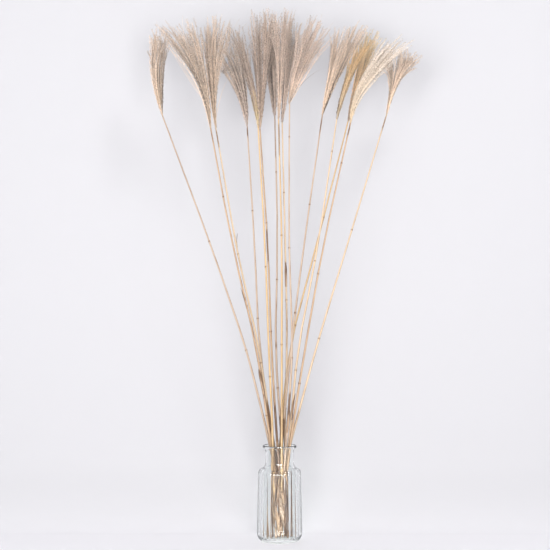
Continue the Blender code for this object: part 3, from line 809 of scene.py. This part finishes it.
def growth_points(paths, kind, draw):
    """Five points for each growth, and the share of the strand where each one starts.

    share = (order / each)^crowding, so that a small crowding sets most of them near the
    tip. way = cos(lean) * ahead + sin(lean) * outwards, and outwards turns by half a
    circle from one growth to the next, give or take the scatter. The points are the
    base, three around the way at the widest place, and the tip.
    """
    count, rows, _ = paths.shape
    order = np.arange(kind.each) + 0 * np.arange(count)[:, None]
    share = ((order + draw.random((count, kind.each))) / kind.each)**kind.crowding
    share = kind.first + (1 - kind.first) * share
    low = np.minimum((share * (rows - 1)).astype(int), rows - 2)
    part = (share * (rows - 1) - low)[..., None]
    strand = np.arange(count)[:, None]
    start, end = paths[strand, low], paths[strand, low + 1]
    ahead = unit(end - start)
    side = unit(np.cross(ahead, [0.0, 1.0, 0.0]))
    front = np.cross(ahead, side)
    turn = np.pi * order + draw.uniform(-kind.scatter, kind.scatter, share.shape)
    turn = (turn + draw.uniform(-STRAND_TWIST, STRAND_TWIST, (count, 1)))[..., None]
    lean = np.radians(draw.uniform(*kind.lean, share.shape))[..., None]
    way = np.cos(lean) * ahead + np.sin(lean) * (np.cos(turn) * side + np.sin(turn) * front)
    base = start + part * (end - start)
    shorter = 1 - SHORTER_AT_TIP * share**3
    grown = (kind.length * draw.uniform(*LENGTH_SPAN, share.shape) * shorter)[..., None]
    first = unit(np.cross(way, ahead))
    second = np.cross(way, first)
    corner = np.arange(3) * 2 * np.pi / 3
    ring = np.cos(corner)[:, None] * first[..., None, :] + np.sin(corner)[:, None] * second[..., None, :]
    waist = base + kind.widest * grown * way
    points = np.concatenate([base[..., None, :], waist[..., None, :] + kind.radius * ring,
                             (base + grown * way)[..., None, :]], axis=-2)
    return points.reshape(-1, 3), share


def growth_faces(count, start):
    """Six triangles for each growth of five points: three to the base and three to the tip."""
    first = start + GROWTH_POINTS * np.arange(count)[:, None]
    around = ((1, 2, 4), (2, 3, 4), (3, 1, 4), (2, 1, 0), (3, 2, 0), (1, 3, 0))
    return np.concatenate([first + np.array(face) for face in around])


print("growths on each strand", SPIKELETS.each + HAIRS.each)

# %% Build the plumes
FIRST_SEED = 100
STRANDS = (58, 92, 88, 78, 42, 92, 80, 74, 72, 92, 94, 44, 64, 92, 82)
# Plumes whose finish differs from the colour of their slot.
TINTS = {5: "straw", 6: "tan", 8: "tan", 10: "tan", 13: "amber_painted_shade_root", 14: "honey"}
STRAND_SIDES = 3
STRAND_PLACES = (0, 0.25, 1)
STRAND_RADII = (0.46, 0.40, 0.12)
RADIUS_SPAN = (0.8, 1.2)
STRAY_THICKER = 1.3
# About a ninth of the locks are made very dark: painted shade, for the shadow deep in the gaps between
# strands.
PAINTED_GAP_SHARE = 0.11
PAINTED_GAP_SHADE = -0.3
STRAND_SHADE_SPREAD = 0.15
GROWTH_SHADE_SPREAD = 0.2
RACHIS_SHARE = 0.50
RACHIS_ROWS = 16
RACHIS_SIDES = 6
RACHIS_RADII = (1.25, 0.4)
RACHIS_SHADE = 0.4


def build_plume(number):
    """One plume in one mesh: its rachis, its strands, their spikelets and their hairs."""
    draw = np.random.default_rng(FIRST_SEED + number)
    paths = np.concatenate([strand_curves(number, STRANDS[number], draw), stray_curves(number)])
    count = len(paths)
    t = np.linspace(0, 1, STRAND_ROWS)
    radii = np.interp(t, STRAND_PLACES, STRAND_RADII) * draw.uniform(*RADIUS_SPAN, (count, 1))
    radii[STRANDS[number]:] *= STRAY_THICKER
    middle = fan_line(PLUMES[number], np.zeros(RACHIS_ROWS), np.linspace(0, RACHIS_SHARE, RACHIS_ROWS))
    groups = [tube(paths, radii, STRAND_SIDES).reshape(-1, 3),
              tube(middle, np.linspace(*RACHIS_RADII, RACHIS_ROWS), RACHIS_SIDES).reshape(-1, 3)]
    faces = (ring_faces(count, STRAND_ROWS, STRAND_SIDES)
             + ring_faces(1, RACHIS_ROWS, RACHIS_SIDES, len(groups[0])))
    drawn = draw.random(count)
    # Each lock's own tone; the darkest locks carry the painted gap shade.
    lock_tone_and_gap_shade = np.where(drawn < PAINTED_GAP_SHARE, PAINTED_GAP_SHADE, 0.5 - 0.5 * np.cos(np.pi * drawn))
    shade = lock_tone_and_gap_shade[np.arange(count) // LOCK_SIZE]
    shade = shade + draw.uniform(-STRAND_SHADE_SPREAD, STRAND_SHADE_SPREAD, count)
    bushy = shade[:STRANDS[number]]
    charts = [np.column_stack([np.tile(np.repeat(t, STRAND_SIDES), count),
                               np.repeat(shade, STRAND_ROWS * STRAND_SIDES)]),
              np.column_stack([np.zeros(len(groups[1])), np.full(len(groups[1]), RACHIS_SHADE)])]
    for kind in (SPIKELETS, HAIRS):
        grown, share = growth_points(paths[:len(bushy)], kind, draw)
        faces.append(growth_faces(share.size, sum(len(group) for group in groups)))
        varied = draw.uniform(-GROWTH_SHADE_SPREAD, GROWTH_SHADE_SPREAD, share.shape)
        own = np.clip(bushy[:, None] + varied, PAINTED_GAP_SHADE, 1)
        charts.append(np.repeat(np.column_stack([share.ravel(), own.ravel()]), GROWTH_POINTS, axis=0))
        groups.append(grown)
    finish = PLUME_FINISHES[TINTS.get(number + 1, PLUMES[number].colour)]
    piece = add_piece(f"plume_of_culm_{number + 1:02d}", np.concatenate(groups), faces, finish,
                      np.concatenate(charts))
    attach(piece, "root")
    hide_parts(f"plume_{number + 1:02d}")
    return sum(len(group) * (group.shape[1] - 2) for group in faces)


plume_triangles = [build_plume(number) for number in range(CULMS)]
print("triangles in the plumes", sum(plume_triangles), "the largest", max(plume_triangles))

# %% [markdown]
# ## Culms
#
# A culm is a tube on its centre line. At each joint it swells and darkens, and just
# above the joint it narrows for a moment, where the leaf sheath used to sit. Its foot is
# brown, and stretches of it are streaked brown. A darker line up one of its sides is
# painted shade, on the side that the lamps light less.

# %% Marks on the culms
CULM_TINTS = ("mauve brown pale mauve golden brown mauve golden pale mauve mauve pale "
              "golden brown pale").split()
# The line of painted shade runs up the right-hand side, but up the left-hand side on these culms.
LEFT_SIDE_SHADE_CULMS = (3, 9, 14)
PAINTED_SIDE_SHADE = 0.6
SIDE_SHADE_SHARPNESS = 2.5
# How brown each culm's foot is, and what is left of that at each of these heights.
FOOT_BROWN = (1.0, 0.8, 0.9, 1.0, 0.75, 1.0, 1.05, 0.45, 1.2, 0.6, 0.9, 0.65, 0.85, 0.6, 0.75)
BROWN_HEIGHTS = (160, 200, 300, 380)
BROWN_LEFT = (1, 0.5, 0.3, 0)
MARK_FADE = 8
# culm, from height, to height, strength of the mark
MARKS = (
    (6, 519, 594, 0.8), (9, 478, 526, 1.0), (4, 760, 786, 0.9), (11, 765, 804, 0.8), (14, 752, 782, 0.8),
    (15, 770, 806, 0.7), (2, 447, 462, 0.8), (8, 190, 265, 0.5), (6, 180, 262, 1.0), (3, 188, 272, 0.95),
    (7, 715, 804, 0.6), (8, 715, 791, 0.7), (2, 740, 775, 0.6), (3, 735, 779, 0.7), (4, 262, 332, 0.95),
    (2, 268, 325, 0.85), (7, 180, 240, 1.0), (9, 358, 455, 0.55), (11, 185, 235, 0.95), (7, 354, 378, 0.9),
    (10, 225, 285, 0.95), (2, 330, 445, 0.45), (6, 600, 760, 0.45), (1, 640, 800, 0.4),
)
print("marks", len(MARKS))

# %% Joints and taper
FOOT_RADIUS = 2.5
TOP_RADIUS = 1.25
FIRST_JOINT = 70
JOINT_STAGGER = 83
JOINT_STAGGER_LIMIT = 190
JOINT_SPACING = 205
JOINT_FREE_TOP = 60


def joint_heights(number):
    """Heights of a culm's joints, evenly spaced, which start at another height on each."""
    first = FIRST_JOINT + ((number + 1) * JOINT_STAGGER) % JOINT_STAGGER_LIMIT
    return np.arange(first, PLUMES[number].head[2] - JOINT_FREE_TOP, JOINT_SPACING)


def culm_radius(height):
    """Culms taper evenly from the foot to the head of the first plume."""
    return FOOT_RADIUS + (TOP_RADIUS - FOOT_RADIUS) * height / PLUMES[0].head[2]


print("joints on each culm", [len(joint_heights(number)) for number in range(CULMS)])

# %% Culms
CULM_SIDES = 14
CULM_STEP = 9.0
# A joint's rings, from below it to above it, and its swelling and the waist above it.
JOINT_REACH = (-9, 12)
JOINT_RINGS = 16
JOINT_SWELL = 0.30
SWELL_LENGTH = 2.3
WAIST_DEPTH = 0.05
WAIST_PLACE = 6
WAIST_LENGTH = 3.0
JOINT_MARK = 0.85
JOINT_MARK_PLACE = 0.6
JOINT_MARK_LENGTH = 1.7
CHART_SHIFT = 3.7


def build_culm(number):
    """One culm: radius = taper * (1 + a bell at each joint - a smaller one above it)."""
    line = lines[number]
    joints = joint_heights(number)
    near = joints[:, None] + np.linspace(*JOINT_REACH, JOINT_RINGS)
    even = np.arange(line[0, 2], line[-1, 2], CULM_STEP)
    levels = np.unique(np.concatenate([even, near.ravel(), [line[-1, 2]]]))
    path = np.column_stack([np.interp(levels, line[:, 2], line[:, axis]) for axis in (0, 1)] + [levels])
    from_joint = levels[:, None] - joints
    bell = np.exp(-(from_joint / SWELL_LENGTH)**2).sum(axis=1)
    waist = np.exp(-((from_joint - WAIST_PLACE) / WAIST_LENGTH)**2).sum(axis=1)
    radii = culm_radius(levels) * (1 + JOINT_SWELL * bell - WAIST_DEPTH * waist)
    points = tube(path, radii, CULM_SIDES).reshape(-1, 3)
    points[:CULM_SIDES, 2] = line[0, 2]
    points[-CULM_SIDES:, 2] = line[-1, 2]
    ring_mark = np.exp(-((from_joint - JOINT_MARK_PLACE) / JOINT_MARK_LENGTH)**2).sum(axis=1)
    foot_mark = FOOT_BROWN[number] * np.interp(levels, BROWN_HEIGHTS, BROWN_LEFT)
    dark = np.maximum(JOINT_MARK * ring_mark, foot_mark)
    for _, low, high, depth in [row for row in MARKS if row[0] == number + 1]:
        edge = np.clip((levels - low) / MARK_FADE, 0, 1) * np.clip((high - levels) / MARK_FADE, 0, 1)
        dark = np.maximum(dark, depth * edge)
    around = np.abs(2 * np.tile(np.arange(CULM_SIDES) / CULM_SIDES, len(levels)) - 1)
    # A line of painted shade along one side of the culm, carried with the marks.
    nearness = around if number + 1 in LEFT_SIDE_SHADE_CULMS else 1 - around
    painted_shade_line = PAINTED_SIDE_SHADE * np.clip(SIDE_SHADE_SHARPNESS * nearness - 1, 0, 1)
    chart = np.column_stack([around + number * CHART_SHIFT, np.repeat(levels, CULM_SIDES)])
    faces = ring_faces(1, len(levels), CULM_SIDES)
    piece = add_piece(f"culm_{number + 1:02d}", points, faces, STRAW_FINISHES[CULM_TINTS[number]], chart,
                      marks=np.maximum(np.repeat(dark, CULM_SIDES), painted_shade_line))
    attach(piece, "root")
    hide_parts(f"stem_{number + 1:02d}")
    return len(levels)


culm_rows = [build_culm(number) for number in range(CULMS)]
print("rings in the culms", culm_rows)

# %% [markdown]
# ## Dry sheath scraps
#
# Thin dry scraps of leaf sheath still cling to some culms and peel away at their tips.
# Each is a blade whose cross-section is a slice of a thin tube, wide at the foot and
# narrowing to a point, so that it hugs the culm before it lifts off.

# %% Sheath scraps
SCRAP_ROWS = 18
SCRAP_COLUMNS = 6
SCRAP_THICKNESS = 0.3
SCRAP_GAP = 0.12
RAGGED_DEPTH = 0.12
RAGGED_WAVES = 9
TIP_NARROWING = 0.93
# How dark a scrap is marked at its foot, and how much darker it gets towards its tip.
SCRAP_MARK = 0.5
SCRAP_DARKENING = 0.4
# culm, foot height, length, bearing in degrees, lift of the tip, half width in degrees
SCRAPS = (
    (3, 553, 26, 10, 5.0, 40), (2, 436, 40, 190, 1.5, 70), (9, 478, 46, 270, 1.0, 100),
    (4, 284, 44, 200, 2.5, 70), (3, 288, 34, 100, 3.0, 50), (2, 276, 48, 250, 4.0, 55),
    (12, 228, 50, 330, 1.6, 90), (10, 205, 42, 300, 2.0, 80),
)


def build_scrap(index, row):
    """A blade: radius = culm + lift * t^2, bearing = middle + width * (1 - t^3) * s."""
    culm, foot, length, bearing, lift, width = row
    line = lines[culm - 1]
    t = np.linspace(0, 1, SCRAP_ROWS)[:, None]
    s = np.linspace(-1, 1, SCRAP_COLUMNS)
    levels = foot + length * t
    ragged = 1 + RAGGED_DEPTH * np.sin(RAGGED_WAVES * t + index) * s
    turn = np.radians(bearing + width * (1 - TIP_NARROWING * t**3) * s * ragged)
    inner_reach = culm_radius(levels) + SCRAP_GAP + lift * t**2 + 0 * s
    loop_reach = np.concatenate([inner_reach + SCRAP_THICKNESS, inner_reach[:, ::-1]], axis=1)
    loop_turn = np.concatenate([turn, turn[:, ::-1]], axis=1)
    centre = [np.interp(levels, line[:, 2], line[:, axis]) for axis in (0, 1)]
    points = np.stack([centre[0] + loop_reach * np.cos(loop_turn),
                       centre[1] + loop_reach * np.sin(loop_turn),
                       levels + 0 * loop_reach], axis=-1).reshape(-1, 3)
    sides = 2 * SCRAP_COLUMNS
    chart = np.column_stack([np.tile(np.arange(sides) / sides, SCRAP_ROWS) + index, points[:, 2]])
    piece = add_piece(f"sheath_scrap_{index + 1:02d}", points, ring_faces(1, SCRAP_ROWS, sides),
                      STRAW_FINISHES["brown"], chart,
                      marks=np.repeat(SCRAP_MARK + SCRAP_DARKENING * t[:, 0], sides))
    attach(piece, "root")


for index, row in enumerate(SCRAPS):
    build_scrap(index, row)
print("sheath scraps", len(SCRAPS))

# %% [markdown]
# ## Studio
#
# The bunch stands on a white floor that curves up into a white backdrop close behind
# it. The lamps graze the floor and face the backdrop, so the sheet's colour is whiter at
# its foot, and the two look alike. The sheet is clear from behind, so that the bunch can
# be looked at from any side.

# %% Floor and backdrop
BACKDROP_DEPTH = 0.22
COVE_RADIUS = 0.15
COVE_STEPS = 24
HALF_WIDTH = 3.0
FRONT_EDGE = -4.0
TOP_EDGE = 3.0
# The floor's share of the colour is (1 - (z / edge)^rise)^fall.
FLOOR_EDGE = 0.10
RISE = 0.5
FALL = 1.75
FLOOR_WHITE = (0.83, 0.823, 0.842, 1)
WALL_WHITE = (0.485, 0.481, 0.494, 1)
SHEET_ROUGHNESS = 0.95

white, tree, shader = new_material("studio_white")
place = add_node(tree, "ShaderNodeTexCoord")
parts = add_node(tree, "ShaderNodeSeparateXYZ", _0=place.outputs["Object"])
risen = add_node(tree, "ShaderNodeMath", [("operation", "POWER")],
                 _0=rescale(tree, parts.outputs[2], 0.0, FLOOR_EDGE), _1=RISE)
level = add_node(tree, "ShaderNodeMath", [("operation", "SUBTRACT")], _0=1.0, _1=risen.outputs[0])
floor_share = add_node(tree, "ShaderNodeMath", [("operation", "POWER")], _0=level.outputs[0], _1=FALL)
tree.links.new(blend(tree, floor_share.outputs[0], WALL_WHITE, FLOOR_WHITE), shader.inputs["Base Color"])
shader.inputs["Roughness"].default_value = SHEET_ROUGHNESS
facing = add_node(tree, "ShaderNodeNewGeometry")
clear = add_node(tree, "ShaderNodeBsdfTransparent")
mixed = add_node(tree, "ShaderNodeMixShader", _0=facing.outputs["Backfacing"], _1=shader.outputs[0],
                 _2=clear.outputs[0])
tree.links.new(mixed.outputs[0], tree.nodes["Material Output"].inputs["Surface"])
bend = np.radians(np.linspace(-90, 0, COVE_STEPS))
deep = np.concatenate([[FRONT_EDGE], BACKDROP_DEPTH - COVE_RADIUS + COVE_RADIUS * np.cos(bend),
                       [BACKDROP_DEPTH]])
high = np.concatenate([[0.0], COVE_RADIUS + COVE_RADIUS * np.sin(bend), [TOP_EDGE]])
sheet = np.stack([np.repeat([[-HALF_WIDTH, HALF_WIDTH]], len(deep), axis=0), np.stack([deep, deep], 1),
                  np.stack([high, high], 1)], axis=-1).reshape(-1, 3) / MM
row = np.arange(len(deep) - 1)[:, None] * 2
backdrop = add_piece("studio_sheet", sheet, [row + [0, 1, 3, 2]], white, sheet[:, :2] * MM)
print("backdrop", len(backdrop.data.polygons), "strips")

# %% [markdown]
# ## Light
#
# Two wide lamps stand beside the camera, the stronger one at its left, so the soft
# shadows fall close behind the bunch and a little to the right. A third, smaller lamp
# stands high above and in front, and brightens the tips. A pale sky fills the rest.

# %% Lamps and sky
LAMPS = (
    # place, size, watts
    ((-0.65, -3.0, 0.60), 1.2, 56.0),
    ((0.35, -3.0, 0.50), 1.0, 42.0),
    ((0.60, -1.6, 2.10), 0.4, 12.0),
)
AIM = np.array([0.0, 0.0, 0.45])
SKY_COLOUR = (0.96, 0.955, 1.0, 1)
SKY_STRENGTH = 0.68

for index, (place, size, watts) in enumerate(LAMPS):
    lamp = bpy.data.lights.new(f"lamp_{index + 1}", "AREA")
    lamp.shape = "DISK"
    lamp.size = size
    lamp.energy = watts
    holder = bpy.data.objects.new(lamp.name, lamp)
    holder.location = place
    back = unit(np.array(place) - AIM)
    holder.rotation_euler = (math.acos(back[2]), 0, math.atan2(back[0], -back[1]))
    bpy.context.scene.collection.objects.link(holder)

sky = bpy.data.worlds.new("studio")
sky.use_nodes = True
sky.node_tree.nodes["Background"].inputs["Color"].default_value = SKY_COLOUR
sky.node_tree.nodes["Background"].inputs["Strength"].default_value = SKY_STRENGTH
bpy.context.scene.world = sky
bpy.context.scene.view_settings.view_transform = "Standard"
print("lamps", len(LAMPS))
